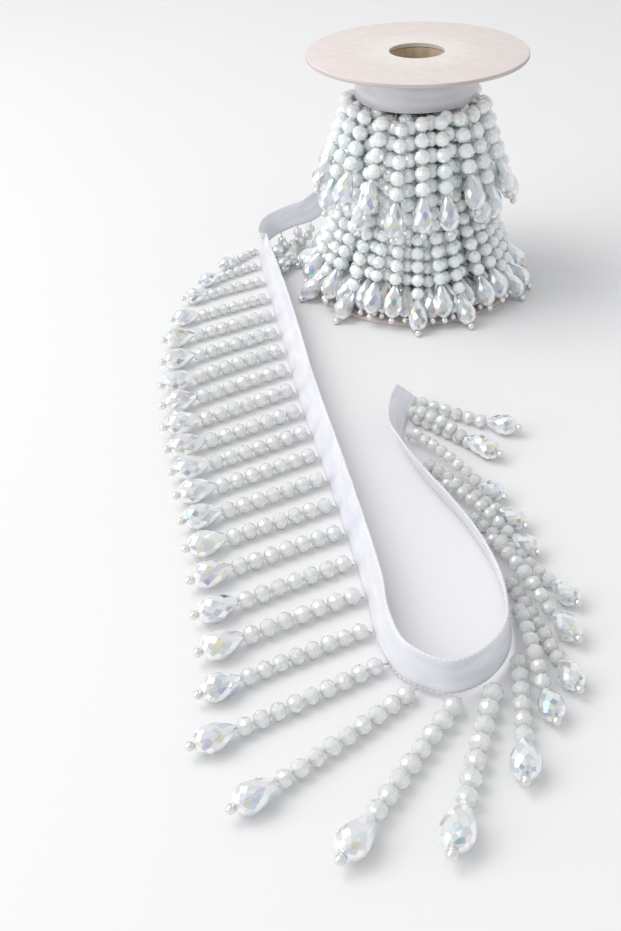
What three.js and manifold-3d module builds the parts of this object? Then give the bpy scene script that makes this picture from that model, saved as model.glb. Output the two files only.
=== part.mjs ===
// A roll of beaded ribbon: a board spool wound with two bands of satin ribbon, whose bead strands hang in two
// flared tiers, and a loose length of the same trim that drops from the lower band and lies on the surface.
// Millimetres, +Z up. The pieces are made about the spool's axis, standing on z = 0, and the whole group is
// then shifted so that the origin is the middle of the footprint.
import * as THREE from 'three';
import { mergeVertices } from 'three/addons/utils/BufferGeometryUtils.js';
import Module from 'manifold-3d';

const wasm = await Module();
wasm.setup();

// Spool
const SPOOL_HEIGHT = 86;
const FLANGE_RADIUS = 38.2;
const FLANGE_THICKNESS = 1.5;
const FLANGE_BEVEL = 0.3;
const BORE_RADIUS = 9.5;
const CORE_WALL = 1.6;
const ROUND_SEGMENTS = 48;
const ARC_STEP = Math.PI / 16;
const WELD = 1e-4;

// Clear space between neighbouring pieces, and between hanging strands and what is behind them
const GAP = 0.3;
const STRAND_CLEARANCE = 1.2;
const EXIT_CLEARANCE = 0.9;

// Ribbon
const RIBBON_WIDTH = 10;
const RIBBON_THICKNESS = 1;
const RIBBON_STEP = 4;
const WINDING_RADIUS = 22;
const TURN_STEP = 0.5;

// One strand: thread, round beads, faceted drop and end pearl, as half widths of a square bar
const THREAD_LENGTH = 1.2;
const THREAD_HALF = 0.7;
const BEAD_HALF = 1.9;
const NECK_HALF = 1.1;
const DROP_LENGTH = 11;
const DROP_HALF = 3.5;
const DROP_WIDEST = 0.62;
const PEARL_SIZE = 2.3;
const PEARL_HALF = 1.1;
const CURLED_STEPS = 2;
const HANGING_STEPS = 4;

// The two tiers on the spool. edge is the height of the band's beaded edge, strands is their number in the
// outer turn, beads and pitch give a strand's length, flare is how far its tip stands out from its root, and
// curl bends it back towards the plumb line.
const TIERS = [
  { name: 'upper', edge: 71.2, strands: 20, beads: 5, pitch: 5.2, flare: 14.6, curl: 0.4 },
  { name: 'lower', edge: 40, strands: 24, beads: 6, pitch: 4.75, flare: 21.2, curl: 0 },
];
const TIER_SECTORS = 4;
const TIER_TURN = THREE.MathUtils.degToRad(-5.5);
const ROOT_RADIUS = 21.7;
const RING_HALF = 1.1;
const RING_HEIGHT = 1.6;
const FLUTE_DEPTH = 0.8;
const SHORT_STRAND = 0.05;
const UNEVEN_TURN = 2.4;
const UNEVEN_SWAY = 1.1;
const UNEVEN_START = 0.4;

// Places along a tier's strand, as shares of its length, where the outline of the inner strands has a corner
const NEAR_ROOT = 0.1;
const SHOULDER = 0.3;
const WAIST_OF_DROPS = 0.84;
const FOOT = 0.86;
const HEM = 0.9;

// Where the strands of the upper tier part to let the ribbon out, as azimuths in degrees
const EXIT_FROM = 88;
const EXIT_TO = 138;

// The loose ribbon's beaded edge. lift is its height over the surface, lean tips the ribbon towards the
// inside of the loop, fan is the direction in which the strands lie and beads is their length.
const ROUTE = [
  { x: 7.8, y: 21.5, lift: 40.4, lean: 0, fan: -90, beads: 3 },
  { x: -0.6, y: 23.3, lift: 40.2, lean: 0, fan: -90, beads: 3 },
  { x: -8, y: 25, lift: 38.5, lean: 0, fan: -90, beads: 3 },
  { x: -22, y: 27.8, lift: 26, lean: 4, fan: -90, beads: 3 },
  { x: -36, y: 29.6, lift: 13.4, lean: 7, fan: -90, beads: 3 },
  { x: -46, y: 32, lift: 9, lean: 9, fan: -90, beads: 3 },
  { x: -54, y: 33, lift: 4.5, lean: 12, fan: -100, beads: 3 },
  { x: -58.4, y: 29.8, lift: 1.2, lean: 17, fan: -129, beads: 2 },
  { x: -58.9, y: 21, lift: 0, lean: 22, fan: -138, beads: 3 },
  { x: -56.9, y: 4, lift: 0, lean: 28, fan: -152, beads: 4.4 },
  { x: -53, y: -24, lift: 0, lean: 33, fan: -152.5, beads: 6.6 },
  { x: -48.9, y: -54.4, lift: 0, lean: 33, fan: -149.5, beads: 7.7 },
  { x: -44.8, y: -84.8, lift: 0, lean: 32, fan: -152.5, beads: 7.6 },
  { x: -35.6, y: -138, lift: 0, lean: 26, fan: -154, beads: 7.3 },
  { x: -29, y: -181, lift: 0, lean: 22, fan: -153, beads: 7.4 },
  { x: -27.5, y: -195.6, lift: 0.7, lean: 17, fan: -153, beads: 7.4 },
  { x: -23.1, y: -208.2, lift: 1.5, lean: 11, fan: -151, beads: 9.2 },
  { x: -13.2, y: -214.3, lift: 1.6, lean: 6, fan: -132, beads: 9 },
  { x: -4.6, y: -211.7, lift: 1.6, lean: 7, fan: -112, beads: 8.6 },
  { x: 3, y: -202.6, lift: 1.4, lean: 8, fan: -96, beads: 5.6 },
  { x: 5.7, y: -188.7, lift: 0.7, lean: 8, fan: -87, beads: 6.8 },
  { x: 4.2, y: -171, lift: 0, lean: 11, fan: -73.5, beads: 6.6 },
  { x: -1.5, y: -151.7, lift: 0, lean: 12, fan: -58, beads: 6.6 },
  { x: -8, y: -136.5, lift: 0, lean: 11, fan: -53, beads: 6 },
  { x: -12.8, y: -122, lift: 0, lean: 13, fan: -55, beads: 7.6 },
  { x: -13.9, y: -110, lift: 0, lean: 24, fan: -53, beads: 7 },
  { x: -11, y: -98.5, lift: 0, lean: 34, fan: -48, beads: 5 },
  { x: -6.9, y: -85.8, lift: 0, lean: 44, fan: -31, beads: 5.2 },
];
const ROUTE_DIVISIONS = 1200;
const LOOSE_PITCH = 4.2;
const DROOP = 1.3;

// The loose fringe's backing strips, as stretches along the ribbon in millimetres from its first point. Where
// the strands are stacked they lie on each other in turn, and every second one is built, which rests on the
// surface.
const STRETCHES = [
  { name: 'hanging', start: 59, end: 74, strands: 1, stacked: false },
  { name: 'bend', start: 75, end: 133.2, strands: 4, stacked: false },
  { name: 'side_1', start: 133.2, end: 199.6, strands: 5, stacked: false },
  { name: 'side_2', start: 199.6, end: 261.6, strands: 5, stacked: false },
  { name: 'side_3', start: 261.6, end: 312.6, strands: 4, stacked: false },
  { name: 'turn_1', start: 312.6, end: 333.4, strands: 2, stacked: false },
  { name: 'turn_2', start: 333.4, end: 350.5, strands: 2, stacked: false },
  { name: 'turn_3', start: 350.5, end: 376.5, strands: 2, stacked: true },
  { name: 'return_1', start: 376.5, end: 430, strands: 4, stacked: true },
  { name: 'return_2', start: 430, end: 459, strands: 2, stacked: true },
  { name: 'end', start: 459, end: 476.5, strands: 2, stacked: false },
];
const STRIP_WIDTH = 1.4;
const STRIP_HEIGHT = 1.8;

const Z = new THREE.Vector3(0, 0, 1);

const materials = {
  board: new THREE.MeshStandardMaterial({ color: 0xe6dcd6, roughness: 0.85, metalness: 0 }),
  kraft: new THREE.MeshStandardMaterial({ color: 0xb79d80, roughness: 0.9, metalness: 0 }),
  satin: new THREE.MeshStandardMaterial({ color: 0xf2f1f6, roughness: 0.42, metalness: 0 }),
  beads: new THREE.MeshStandardMaterial({ color: 0xdbe4e4, roughness: 0.12, metalness: 0 }),
};

const group = new THREE.Group();

function place(name, geometry, material) {
  const mesh = new THREE.Mesh(geometry, material);
  mesh.name = name;
  group.add(mesh);
}

// A closed body between four-cornered sections, turned so that its faces point out
function loft(sections) {
  const corners = sections[0].length;
  const positions = sections.flat().flatMap((p) => [p.x, p.y, p.z]);
  const index = [];
  for (let i = 0; i + 1 < sections.length; i += 1) {
    for (let k = 0; k < corners; k += 1) {
      const a = i * corners + k;
      const b = i * corners + ((k + 1) % corners);
      index.push(a, b, b + corners, a, b + corners, a + corners);
    }
  }
  const last = (sections.length - 1) * corners;
  for (let k = 1; k + 1 < corners; k += 1) {
    index.push(0, k + 1, k, last, last + k, last + k + 1);
  }
  const geometry = new THREE.BufferGeometry();
  geometry.setAttribute('position', new THREE.Float32BufferAttribute(positions, 3));
  geometry.setIndex(signedVolume(positions, index) < 0 ? index.reverse() : index);
  return geometry;
}

function signedVolume(positions, index) {
  const corner = (i) => new THREE.Vector3().fromArray(positions, 3 * i);
  let volume = 0;
  for (let i = 0; i < index.length; i += 3) {
    volume += corner(index[i]).dot(corner(index[i + 1]).cross(corner(index[i + 2])));
  }
  return volume;
}

function toSolid(geometry) {
  const bare = geometry.clone();
  bare.deleteAttribute('normal');
  bare.deleteAttribute('uv');
  const merged = mergeVertices(bare, WELD);
  return new wasm.Manifold(new wasm.Mesh({
    numProp: 3,
    vertProperties: new Float32Array(merged.attributes.position.array),
    triVerts: new Uint32Array(merged.index.array),
  }));
}

function toGeometry(solid) {
  const mesh = solid.getMesh();
  const geometry = new THREE.BufferGeometry();
  geometry.setAttribute('position', new THREE.Float32BufferAttribute(mesh.vertProperties, 3));
  geometry.setIndex(Array.from(mesh.triVerts));
  return geometry;
}

function fuse(geometries) {
  return toGeometry(geometries.map(toSolid).reduce((a, b) => a.add(b)));
}

// A lathed ring about the Z axis from a closed outline of { r, z } corners
function lathe(outline, segments) {
  const points = [...outline, outline[0]].map((p) => new THREE.Vector2(p.r, p.z));
  return outwards(new THREE.LatheGeometry(points, segments).rotateX(Math.PI / 2));
}

function outwards(geometry) {
  const index = Array.from(geometry.index.array);
  if (signedVolume(geometry.attributes.position.array, index) < 0) {
    geometry.setIndex(index.reverse());
  }
  return geometry;
}

// A flat sector of a ring between two radii and two azimuths, raised from floor to floor + height
function sector(inner, outer, from, to, floor, height) {
  const shape = new THREE.Shape();
  shape.absarc(0, 0, outer, from, to, false);
  shape.absarc(0, 0, inner, to, from, true);
  const steps = Math.ceil((to - from) / ARC_STEP);
  const settings = { depth: height, bevelEnabled: false, curveSegments: steps };
  const geometry = new THREE.ExtrudeGeometry(shape, settings);
  geometry.translate(0, 0, floor);
  return mergeVertices(stripped(geometry), WELD);
}

function stripped(geometry) {
  geometry.deleteAttribute('normal');
  geometry.deleteAttribute('uv');
  return geometry;
}

// Half widths along a strand, by distance from its root
function strandStops(beads, pitch, thread, bodySteps) {
  const neck = thread + beads * pitch;
  const tail = neck + DROP_LENGTH;
  const stops = [{ at: 0, half: THREAD_HALF }];
  for (let i = 0; i <= bodySteps; i += 1) {
    stops.push({ at: thread + ((beads * pitch - NECK_HALF) * i) / bodySteps, half: BEAD_HALF });
  }
  stops.push({ at: neck, half: NECK_HALF });
  stops.push({ at: neck + DROP_WIDEST * DROP_LENGTH, half: DROP_HALF });
  stops.push({ at: tail, half: PEARL_HALF });
  stops.push({ at: tail + PEARL_SIZE, half: PEARL_HALF });
  return stops;
}

function strandLength(beads, pitch) {
  return THREAD_LENGTH + beads * pitch + DROP_LENGTH + PEARL_SIZE;
}

// Spool

function makeFlange(floor) {
  const top = floor + FLANGE_THICKNESS;
  return lathe([
    { r: BORE_RADIUS, z: floor },
    { r: FLANGE_RADIUS - FLANGE_BEVEL, z: floor },
    { r: FLANGE_RADIUS, z: floor + FLANGE_BEVEL },
    { r: FLANGE_RADIUS, z: top - FLANGE_BEVEL },
    { r: FLANGE_RADIUS - FLANGE_BEVEL, z: top },
    { r: BORE_RADIUS, z: top },
  ], ROUND_SEGMENTS);
}

function makeCore() {
  const floor = FLANGE_THICKNESS + GAP;
  const top = SPOOL_HEIGHT - FLANGE_THICKNESS - GAP;
  return lathe([
    { r: BORE_RADIUS, z: floor },
    { r: BORE_RADIUS + CORE_WALL, z: floor },
    { r: BORE_RADIUS + CORE_WALL, z: top },
    { r: BORE_RADIUS, z: top },
  ], ROUND_SEGMENTS);
}

// Wound ribbon and the strands of its inner turns

const CORE_RADIUS = BORE_RADIUS + CORE_WALL + GAP;

// A band of ribbon turns, with the step where its outer turn ends
function makeBand(edge) {
  const shape = new THREE.Shape();
  const outer = Array.from({ length: ROUND_SEGMENTS + 1 }, (_, i) => {
    const turn = i / ROUND_SEGMENTS;
    const angle = turn * 2 * Math.PI + THREE.MathUtils.degToRad(EXIT_FROM);
    const radius = WINDING_RADIUS - TURN_STEP * turn;
    return new THREE.Vector2(radius * Math.cos(angle), radius * Math.sin(angle));
  });
  shape.setFromPoints(outer);
  const bore = new THREE.Path();
  bore.absarc(0, 0, CORE_RADIUS, 0, 2 * Math.PI, true);
  shape.holes.push(bore);
  const settings = { depth: RIBBON_WIDTH, bevelEnabled: false, curveSegments: ROUND_SEGMENTS / 2 };
  const geometry = new THREE.ExtrudeGeometry(shape, settings);
  geometry.translate(0, 0, edge);
  return mergeVertices(stripped(geometry), WELD);
}

function tierDrop(tier) {
  return Math.sqrt(strandLength(tier.beads, tier.pitch) ** 2 - tier.flare ** 2);
}

// Radius and height of a tier's strand, by the share of its length
function tierPoint(tier, share, flare, drop) {
  return {
    r: ROOT_RADIUS + flare * ((1 + tier.curl) * share - tier.curl * share * share),
    z: tier.edge - GAP - RING_HEIGHT / 2 - drop * share,
  };
}

// The outside of a tier's inner strands: the path of the outer strands, moved in by their thickness
function massEdge(tier, share, half) {
  const p = tierPoint(tier, share, tier.flare, tierDrop(tier));
  return { r: p.r - half - STRAND_CLEARANCE, z: p.z };
}

function neckShare(tier) {
  return (THREAD_LENGTH + tier.beads * tier.pitch) / strandLength(tier.beads, tier.pitch);
}

function massTop(tier) {
  const rim = ROOT_RADIUS - BEAD_HALF - 2 * GAP;
  const z = tier.edge - GAP;
  return [{ r: rim, z: z - RING_HEIGHT - GAP }, { r: rim, z }, { r: CORE_RADIUS, z }];
}

// The flutes are the strands of the inner turns, drawn in between the lines of the outer ones
function flute(geometry, strands, from) {
  const position = geometry.attributes.position;
  for (let i = 0; i < position.count; i += 1) {
    const x = position.getX(i);
    const y = position.getY(i);
    const radius = Math.hypot(x, y);
    if (radius > from) {
      const depth = (FLUTE_DEPTH * (1 - Math.cos(strands * Math.atan2(y, x)))) / 2;
      position.setXY(i, (x * (radius - depth)) / radius, (y * (radius - depth)) / radius);
    }
  }
  return geometry.rotateZ(TIER_TURN);
}

// Outline of the upper tier's inner strands, hollow below where they hang around the lower band
function makeUpperMass() {
  const [upper, lower] = TIERS;
  const neck = neckShare(upper);
  const hem = massEdge(upper, HEM, DROP_HALF);
  const lowerStrand = tierPoint(lower, NEAR_ROOT, lower.flare, tierDrop(lower));
  const around = WINDING_RADIUS + RIBBON_THICKNESS + 2 * EXIT_CLEARANCE;
  const bandTop = lower.edge + RIBBON_WIDTH + EXIT_CLEARANCE;
  const outline = [
    ...massTop(upper).reverse(),
    massEdge(upper, SHOULDER, BEAD_HALF),
    massEdge(upper, neck, BEAD_HALF),
    massEdge(upper, WAIST_OF_DROPS, DROP_HALF),
    hem,
    { r: lowerStrand.r + BEAD_HALF + STRAND_CLEARANCE, z: hem.z },
    { r: around, z: lower.edge + 2 * GAP },
    { r: around, z: bandTop },
    { r: CORE_RADIUS, z: bandTop },
  ];
  const whole = toSolid(flute(lathe(outline, 2 * upper.strands), upper.strands, around + GAP));
  const from = THREE.MathUtils.degToRad(EXIT_FROM);
  const to = THREE.MathUtils.degToRad(EXIT_TO);
  const floor = lower.edge - RIBBON_WIDTH;
  const way = toSolid(sector(around - GAP, FLANGE_RADIUS, from, to, floor, 2 * RIBBON_WIDTH));
  return toGeometry(whole.subtract(way));
}

function makeLowerMass() {
  const lower = TIERS[1];
  const floor = FLANGE_THICKNESS + GAP;
  const foot = massEdge(lower, FOOT, DROP_HALF);
  const outline = [
    ...massTop(lower).reverse(),
    massEdge(lower, SHOULDER, BEAD_HALF),
    massEdge(lower, neckShare(lower), BEAD_HALF),
    foot,
    { r: foot.r, z: floor },
    { r: CORE_RADIUS, z: floor },
  ];
  return flute(lathe(outline, 2 * lower.strands), lower.strands, ROOT_RADIUS - RING_HALF - 2 * GAP);
}

// Outer strands on the spool

// Small unevenness from strand to strand, between -1 and 1
function uneven(i) {
  return Math.sin(UNEVEN_TURN * i) * Math.cos(UNEVEN_SWAY * i + UNEVEN_START);
}

function makeTierStrand(tier, azimuth, i) {
  const length = strandLength(tier.beads, tier.pitch);
  const drop = tierDrop(tier) * (1 - SHORT_STRAND * Math.abs(uneven(i)));
  const flare = tier.flare + uneven(i + tier.strands);
  const around = new THREE.Vector3(-Math.sin(azimuth), Math.cos(azimuth), 0);
  const out = new THREE.Vector3(Math.cos(azimuth), Math.sin(azimuth), 0);
  const bodySteps = tier.curl > 0 ? CURLED_STEPS : 1;
  return loft(strandStops(tier.beads, tier.pitch, THREAD_LENGTH, bodySteps).map((stop) => {
    const share = stop.at / length;
    const p = tierPoint(tier, share, flare, drop);
    const slope = flare * (1 + tier.curl - 2 * tier.curl * share);
    const normal = out.clone().multiplyScalar(drop).addScaledVector(Z, slope).normalize();
    const middle = out.clone().multiplyScalar(p.r).addScaledVector(Z, p.z);
    return square(middle, around, normal, stop.half);
  }));
}

function square(middle, side, normal, half) {
  return [[-1, -1], [1, -1], [1, 1], [-1, 1]].map(([a, b]) => middle.clone()
    .addScaledVector(side, a * half)
    .addScaledVector(normal, b * half));
}

function partsForRibbon(tier, azimuth) {
  const degrees = THREE.MathUtils.radToDeg(azimuth);
  return tier.name === 'upper' && degrees > EXIT_FROM && degrees < EXIT_TO;
}

// One quarter of a tier: a narrow ring section under the band's edge, with its strands
function makeTierSector(tier, quarter) {
  const each = (2 * Math.PI) / tier.strands;
  const span = (2 * Math.PI) / TIER_SECTORS;
  const from = quarter * span + TIER_TURN;
  const ends = GAP / 2 / ROOT_RADIUS;
  const floor = tier.edge - GAP - RING_HEIGHT;
  const ring = sector(
    ROOT_RADIUS - RING_HALF, ROOT_RADIUS + RING_HALF, from + ends, from + span - ends, floor, RING_HEIGHT);
  const pieces = [ring];
  const perSector = tier.strands / TIER_SECTORS;
  for (let k = 0; k < perSector; k += 1) {
    const i = quarter * perSector + k;
    const azimuth = (i + 0.5) * each + TIER_TURN;
    if (!partsForRibbon(tier, azimuth)) {
      pieces.push(makeTierStrand(tier, azimuth, i));
    }
  }
  return fuse(pieces);
}

// Loose ribbon

const route = new THREE.CatmullRomCurve3(
  ROUTE.map((row) => new THREE.Vector3(row.x, row.y, row.lift)), false, 'centripetal');
route.arcLengthDivisions = ROUTE_DIVISIONS;

// A value of the route's table at a distance along the ribbon
function routeValue(column, t) {
  const row = t * (ROUTE.length - 1);
  const i = Math.min(Math.floor(row), ROUTE.length - 2);
  return THREE.MathUtils.lerp(ROUTE[i][column], ROUTE[i + 1][column], row - i);
}

// Edge point, heading, outward side and the ribbon's own up direction at a distance along it
function ribbonFrame(distance) {
  const t = route.getUtoTmapping(0, Math.min(distance, route.getLength()));
  const point = route.getPoint(t);
  point.z = Math.max(point.z, 0);
  const heading = route.getTangent(t);
  const outward = new THREE.Vector3(heading.y, -heading.x, 0).normalize();
  const lean = THREE.MathUtils.degToRad(routeValue('lean', t));
  const up = Z.clone().multiplyScalar(Math.cos(lean)).addScaledVector(outward, -Math.sin(lean));
  up.addScaledVector(heading, -up.dot(heading)).normalize();
  return { t, point, heading, outward, up };
}

function makeLooseRibbon() {
  const steps = Math.round(route.getLength() / RIBBON_STEP);
  return loft(Array.from({ length: steps + 1 }, (_, i) => {
    const { point, heading, up } = ribbonFrame((route.getLength() * i) / steps);
    const face = heading.clone().cross(up).normalize().multiplyScalar(RIBBON_THICKNESS / 2);
    const foot = point.clone().addScaledVector(Z, Math.abs(face.z));
    const head = foot.clone().addScaledVector(up, RIBBON_WIDTH);
    return [foot.clone().add(face), foot.clone().sub(face), head.clone().sub(face), head.clone().add(face)];
  }));
}

// Loose fringe

// The strip's inner foot: beside the ribbon's edge where that lies on the surface, under it where it hangs
function stripFoot(frame, hangs) {
  const foot = frame.point.clone();
  if (hangs) {
    foot.z -= 3 * GAP + STRIP_HEIGHT;
    return foot.addScaledVector(frame.outward, -STRIP_WIDTH / 2);
  }
  return foot.addScaledVector(frame.outward, RIBBON_THICKNESS / 2 + GAP);
}

function makeStrip(stretch, hangs) {
  const from = stretch.start + GAP / 2;
  const to = stretch.end - GAP / 2;
  const steps = Math.ceil((to - from) / RIBBON_STEP);
  return loft(Array.from({ length: steps + 1 }, (_, i) => {
    const frame = ribbonFrame(from + ((to - from) * i) / steps);
    const inner = stripFoot(frame, hangs);
    const outer = inner.clone().addScaledVector(frame.outward, STRIP_WIDTH);
    const rise = new THREE.Vector3(0, 0, STRIP_HEIGHT);
    return [inner, outer, outer.clone().add(rise), inner.clone().add(rise)];
  }));
}

// A strand lying on the surface: out from the strip, then along its fan direction, sinking to the surface
function makeLooseStrand(distance, hangs) {
  const frame = ribbonFrame(distance);
  const root = stripFoot(frame, hangs).addScaledVector(frame.outward, STRIP_WIDTH / 2);
  const fan = THREE.MathUtils.degToRad(routeValue('fan', frame.t));
  const along = new THREE.Vector3(Math.cos(fan), Math.sin(fan), 0);
  const side = new THREE.Vector3(-along.y, along.x, 0);
  const slant = hangs ? 1 : Math.abs(along.dot(frame.heading));
  const thread = STRIP_WIDTH / 2 + BEAD_HALF * slant + GAP;
  const start = root.clone().addScaledVector(hangs ? along : frame.outward, thread);
  const landing = DROOP * root.z;
  const beads = Math.round(routeValue('beads', frame.t));
  const bodySteps = hangs ? HANGING_STEPS : 1;
  return loft(strandStops(beads, LOOSE_PITCH, thread, bodySteps).map((stop) => {
    const run = stop.at - thread;
    const middle = run < 0 ? root.clone() : start.clone().addScaledVector(along, run);
    const sunk = landing > GAP ? Math.max(0, 1 - Math.max(run, 0) / landing) ** 2 : 0;
    middle.z = root.z * sunk + stop.half;
    return square(middle, side, Z, stop.half);
  }));
}

function makeStretch(stretch) {
  const hangs = stretch.name === 'hanging';
  const pieces = [makeStrip(stretch, hangs)];
  const each = (stretch.end - stretch.start) / stretch.strands;
  for (let k = 0; k < stretch.strands; k += stretch.stacked ? 2 : 1) {
    pieces.push(makeLooseStrand(stretch.start + (k + 0.5) * each, hangs));
  }
  return fuse(pieces);
}

// Assembly

place('spool_flange_bottom', makeFlange(0), materials.board);
place('spool_flange_top', makeFlange(SPOOL_HEIGHT - FLANGE_THICKNESS), materials.board);
place('spool_core', makeCore(), materials.kraft);
for (const tier of TIERS) {
  place(`wound_ribbon_${tier.name}`, makeBand(tier.edge), materials.satin);
  for (let quarter = 0; quarter < TIER_SECTORS; quarter += 1) {
    place(`fringe_${tier.name}_${quarter + 1}`, makeTierSector(tier, quarter), materials.beads);
  }
}
place('wound_beads_upper', makeUpperMass(), materials.beads);
place('wound_beads_lower', makeLowerMass(), materials.beads);
place('loose_ribbon', makeLooseRibbon(), materials.satin);
for (const stretch of STRETCHES) {
  place(`loose_fringe_${stretch.name}`, makeStretch(stretch), materials.beads);
}

const box = new THREE.Box3().setFromObject(group);
const middle = box.getCenter(new THREE.Vector3());
group.position.set(-middle.x, -middle.y, 0);

export default group;
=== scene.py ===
"""A roll of beaded ribbon: the looks of the spool, the satin ribbon and its bead fringe.

Sizes are millimetres about the spool's axis on the surface, and become metres when a mesh is made.
"""

import math
import random
from collections import namedtuple

import bmesh
import bpy
import numpy as np
from mathutils import Matrix, Vector


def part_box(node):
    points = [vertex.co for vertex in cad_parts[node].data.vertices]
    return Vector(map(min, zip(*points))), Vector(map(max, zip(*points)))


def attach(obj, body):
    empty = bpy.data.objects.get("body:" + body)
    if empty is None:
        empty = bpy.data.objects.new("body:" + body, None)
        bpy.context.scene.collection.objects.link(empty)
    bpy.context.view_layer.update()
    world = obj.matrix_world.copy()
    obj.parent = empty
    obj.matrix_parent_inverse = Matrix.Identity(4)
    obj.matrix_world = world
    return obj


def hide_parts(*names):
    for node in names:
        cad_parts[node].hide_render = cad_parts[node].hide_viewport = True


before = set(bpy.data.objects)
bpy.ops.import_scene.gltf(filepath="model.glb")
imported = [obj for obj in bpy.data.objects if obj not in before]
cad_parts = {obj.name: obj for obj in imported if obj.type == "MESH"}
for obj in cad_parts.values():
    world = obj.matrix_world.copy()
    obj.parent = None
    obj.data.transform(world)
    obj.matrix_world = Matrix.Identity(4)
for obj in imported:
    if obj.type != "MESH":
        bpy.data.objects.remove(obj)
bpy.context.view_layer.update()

MM = 0.001
TINY = 1e-9
FLANGE_LOW, FLANGE_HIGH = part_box("spool_flange_top")
AXIS = np.array([(FLANGE_LOW.x + FLANGE_HIGH.x) / 2, (FLANGE_LOW.y + FLANGE_HIGH.y) / 2, 0])

# Camera, about the spool's axis
CAMERA_PLACE = (-41.94, -386.95, 191.94)
CAMERA_PITCH = 35.79
CAMERA_ROLL = 2.26
FOCAL_PIXELS = 1100
IMAGE_HEIGHT = 931
SENSOR = 36
CLIP_START = 0.01

# Light: an even sky, a window high on the left and a low lamp on the left, with their sizes in metres
SKY_COLOUR = (0.98, 0.99, 1, 1)
SKY_STRENGTH = 0.745
Lamp = namedtuple("Lamp", "name place target size power colour")
LAMPS = (
    Lamp("window", (-640, 60, 1000), (-60, 90, 0), (0.7, 0.8), 6.3, (1, 0.985, 0.965)),
    Lamp("side", (-900, -350, 420), (0, 0, 30), (0.7, 0.7), 3.3, (1, 0.99, 0.98)),
)
BOUNCES = {"max_bounces": 64, "diffuse_bounces": 32, "glossy_bounces": 24, "transmission_bounces": 32}
FLOOR_HALF = 2.5

# Spool
SPOOL_HEIGHT = 86
FLANGE_RADIUS = 38.2
FLANGE_THICKNESS = 1.5
FLANGE_ROUND = 0.45
BORE_RADIUS = 9.5
CORE_WALL = 1.6
GAP = 0.3
LIP_WIDTH = 0.2
LIP_HEIGHT = 0.15
CORNER_STEPS = 9
FLANGE_SEGMENTS = 160
CORE_SEGMENTS = 96
SHARP_ANGLE = 35

# Ribbon
RIBBON_WIDTH = 10
RIBBON_THICKNESS = 0.35
RIBBON_STEP = 1.5
RIBBON_COLUMNS = 10
WAVE_HEIGHT = 0.5
WAVE_FROM = 110
WAVE_TO = 300
WAVE_FADE = 20
STRAND_SPACING = 12.9
WINDING_RADIUS = 22
WINDING_TURNS = 7
TURN_SEGMENTS = 96
WOUND_COLUMNS = 4
BAND_PULL = 0.25
BAND_PULLS = 3

# One strand, at the size of the loose length's beads
BEAD_PITCH = 4.6
BEAD_ACROSS = 1.03
BEAD_ALONG = 0.985
BEAD_TILT = 0.1
BEAD_VARIES = 0.02
ROOT_GAP = 1.5
ROOT_BEND = 0.95
DROP_LENGTH = 10.9
DROP_HALF = 3.6
DROP_COLUMNS = 10
DROP_NECK = 0.26
DROP_WIDEST = 0.64
DROP_FIRST = 0.13
DROP_TAIL = 0.975
PEARL_RADIUS = 1.2
PEARL_SEAT = 0.9
STRAND_END = DROP_LENGTH + PEARL_SEAT * PEARL_RADIUS
BEAD_REST = 2.42
DROP_REST = 3.98
FLOOR_REST = 1.25
FLANGE_REST = 3
THREAD_RADIUS = 0.22
THREAD_SIDES = 5
THREAD_STEP = 1.6
PATH_STEP = 0.6
SPARE = 1.5
# A direction that no thread runs along
ASKEW = (0.31, 0.17, 0.94)

# The two tiers on the spool. turn is the azimuth of strand 0 and lean a strand's slope from the upright, in
# degrees. Outer strands named in short have one bead less and hang by short_lean, and those in slack hang
# lower. Inner strands have so many beads more and hang straight down past the radius hang, but those in
# showing are like outer ones.
Tier = namedtuple("Tier", (
    "name", "edge", "strands", "turn", "pitch", "beads", "drop", "half", "lean", "short_lean",
    "short", "slack", "more", "hang", "showing"))
TIERS = (
    Tier("upper", 71.2, 22, -91.3, 5.3, 5, 11.9, 3.5, 19, 22.5,
         (-9, -7, -5, -3, -2, 2, 4, 7, 10), (-1, 6, -8), 3, 27.5, (-7, -3, 2, 3, 6, 9)),
    Tier("lower", 40, 28, -93, 4.68, 7, 11.2, 3.45, 24, 26.5,
         (-13, -11, -9, -7, -6, -4, -2, -1, 1, 3, 4, 7, 9, 11, 12), (), -1, 37, ()),
)
UNEVEN_SLACK = 0.7
UNEVEN_LEAN = 0.6
UNEVEN_AZIMUTH = 1
AZIMUTH_SWAY = 1
SLACK = 2.2
TIER_GAP = 0.4
ROOT_RADIUS = 21.7
ROOT_DROP = 1.1
SHOULDER_OUT = 2.3
SHOULDER_DOWN = 1.1
SHOULDER = math.hypot(SHOULDER_OUT, SHOULDER_DOWN)

# The wound layers of a tier: how far a layer lies inside the outer one at the root, its place between the
# outer strands as a share of their spacing, and what is added to its slope
Layer = namedtuple("Layer", "inset phase lean")
LAYERS = (Layer(0, 0, 0), Layer(2.6, 0.5, -0.5), Layer(5.2, 0.1, -1.5), Layer(7.8, 0.6, -3))

# Azimuths where the ribbon crosses the upper tier. Outer strands are pushed aside there, and inner ones are
# left out or short.
EXIT_FROM = 86
EXIT_TO = 140
EXIT_MIDDLE = 121
EXIT_HALF = 15

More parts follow.
